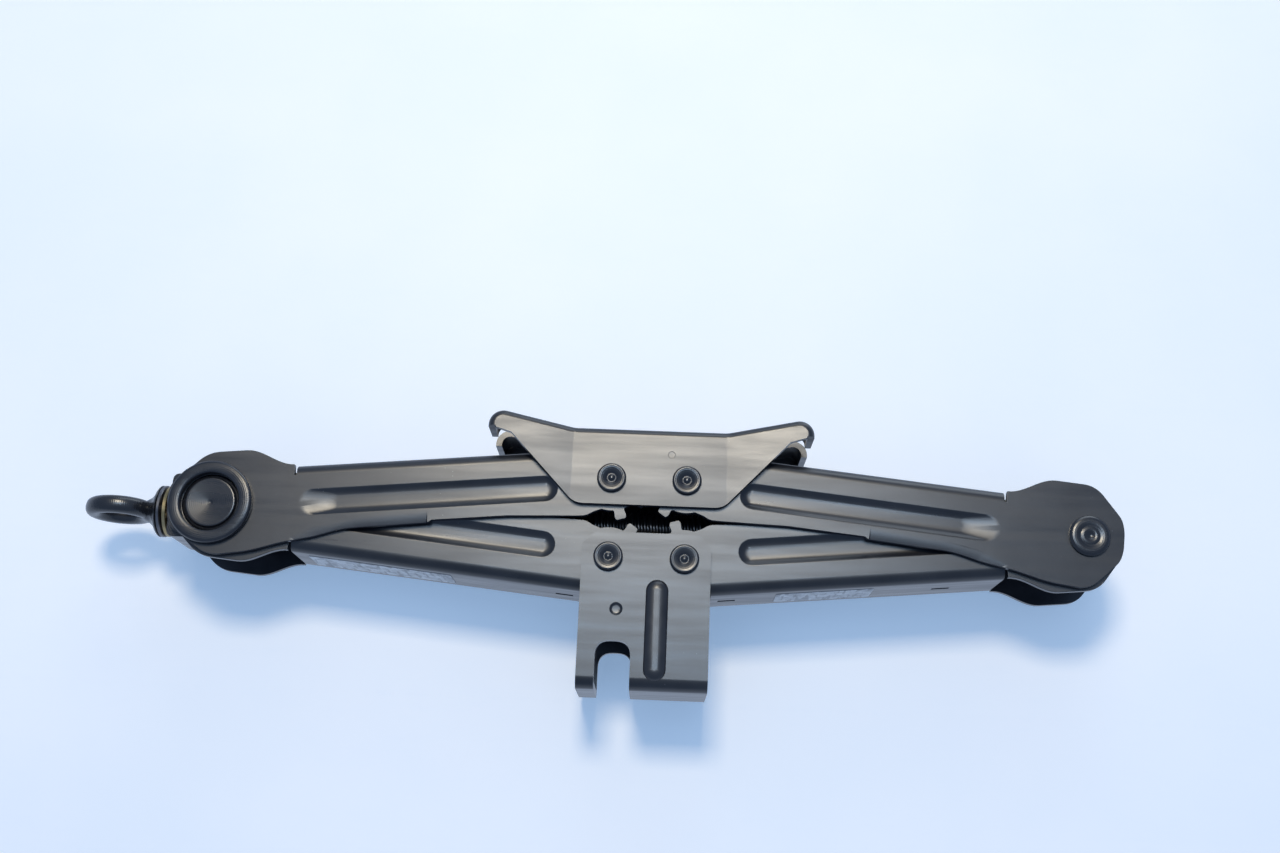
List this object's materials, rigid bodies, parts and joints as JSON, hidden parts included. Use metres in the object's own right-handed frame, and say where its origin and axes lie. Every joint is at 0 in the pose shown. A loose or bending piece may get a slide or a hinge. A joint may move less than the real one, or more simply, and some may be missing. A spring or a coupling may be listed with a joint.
{
  "type": "scissor car jack",
  "caption": "Wound-down scissor jack for a car: pressed foot, geared channel arms, saddle head, and a screw with a crank eye that closes the arms to lift.",
  "frame": {"origin": "middle of the foot's flat underside, halfway between its two gear pivots, with the jack standing on its foot", "axes": "+Z the way it lifts; +X along the spindle from the crank eye to the nut; Y across its width"},
  "size_m": [0.4192, 0.0502, 0.1091],
  "materials": {
    "black_sheet": "semi-gloss black dip coat on pressed sheet",
    "black_rivet": "semi-gloss black dip coat on turned rivet heads",
    "black_forging": "semi-gloss black dip coat over turned and forged steel",
    "washer_steel": "hardened steel, dark and lightly oiled",
    "bearing_brass": "dull stamped cage",
    "dark_screw": "greased dark rolled thread"
  },
  "bodies": {
    "base": {"foot": "black_sheet", "foot_pin_left": "black_rivet", "foot_pin_right": "black_rivet"},
    "lower_left": {"lower_left_arm": "black_sheet"},
    "lower_right": {"lower_right_arm": "black_sheet"},
    "upper_left": {"upper_left_arm": "black_sheet"},
    "upper_right": {"upper_right_arm": "black_sheet"},
    "head": {"saddle_head": "black_sheet", "head_pin_left": "black_rivet", "head_pin_right": "black_rivet"},
    "thrust_block": {"thrust_trunnion": "black_forging", "trunnion_ring_front": "black_forging", "trunnion_ring_rear": "black_forging", "inner_thrust_washer": "washer_steel"},
    "nut_block": {"nut_trunnion": "black_forging"},
    "screw": {"spindle": "dark_screw", "crank_eye": "black_forging", "eye_pin": "black_forging", "outer_thrust_washer": "washer_steel", "end_stop": "dark_screw"},
    "bearing_cage": {"ball_cage": "bearing_brass"}
  },
  "joints": [
    {"name": "lower_left_hinge", "type": "hinge", "parent": "base", "child": "lower_left", "pos_m": [-0.015, 0, 0.0515], "axis": [0, 1, 0], "range_deg": [0, 62]},
    {"name": "lower_right_hinge", "type": "hinge", "parent": "base", "child": "lower_right", "pos_m": [0.015, 0, 0.0515], "axis": [0, 1, 0], "range_deg": [-62, 0]},
    {"name": "upper_left_hinge", "type": "hinge", "parent": "lower_left", "child": "upper_left", "pos_m": [-0.17424, 0, 0.06711], "axis": [0, 1, 0], "range_deg": [-124, 0]},
    {"name": "upper_right_hinge", "type": "hinge", "parent": "lower_right", "child": "upper_right", "pos_m": [0.17424, 0, 0.06711], "axis": [0, 1, 0], "range_deg": [0, 124]},
    {"name": "head_hinge", "type": "hinge", "parent": "upper_left", "child": "head", "pos_m": [-0.015, 0, 0.08273], "axis": [0, 1, 0], "range_deg": [0, 62]},
    {"name": "thrust_block_hinge", "type": "hinge", "parent": "lower_left", "child": "thrust_block", "pos_m": [-0.17424, 0, 0.06711], "axis": [0, 1, 0], "range_deg": [-62, 0]},
    {"name": "nut_block_hinge", "type": "hinge", "parent": "lower_right", "child": "nut_block", "pos_m": [0.17424, 0, 0.06711], "axis": [0, 1, 0], "range_deg": [0, 62]},
    {"name": "screw_turn", "type": "hinge", "parent": "thrust_block", "child": "screw", "pos_m": [-0.17424, 0, 0.06711], "axis": [1, 0, 0], "continuous": true},
    {"name": "cage_turn", "type": "hinge", "parent": "thrust_block", "child": "bearing_cage", "pos_m": [-0.17424, 0, 0.06711], "axis": [1, 0, 0], "continuous": true}
  ],
  "couplings": [
    {"joint": "lower_right_hinge", "follows": "lower_left_hinge", "ratio": -1},
    {"joint": "upper_left_hinge", "follows": "lower_left_hinge", "ratio": -2},
    {"joint": "upper_right_hinge", "follows": "lower_left_hinge", "ratio": 2},
    {"joint": "head_hinge", "follows": "lower_left_hinge", "ratio": 1},
    {"joint": "thrust_block_hinge", "follows": "lower_left_hinge", "ratio": -1},
    {"joint": "nut_block_hinge", "follows": "lower_left_hinge", "ratio": 1},
    {"joint": "cage_turn", "follows": "screw_turn", "ratio": 0.5}
  ]
}
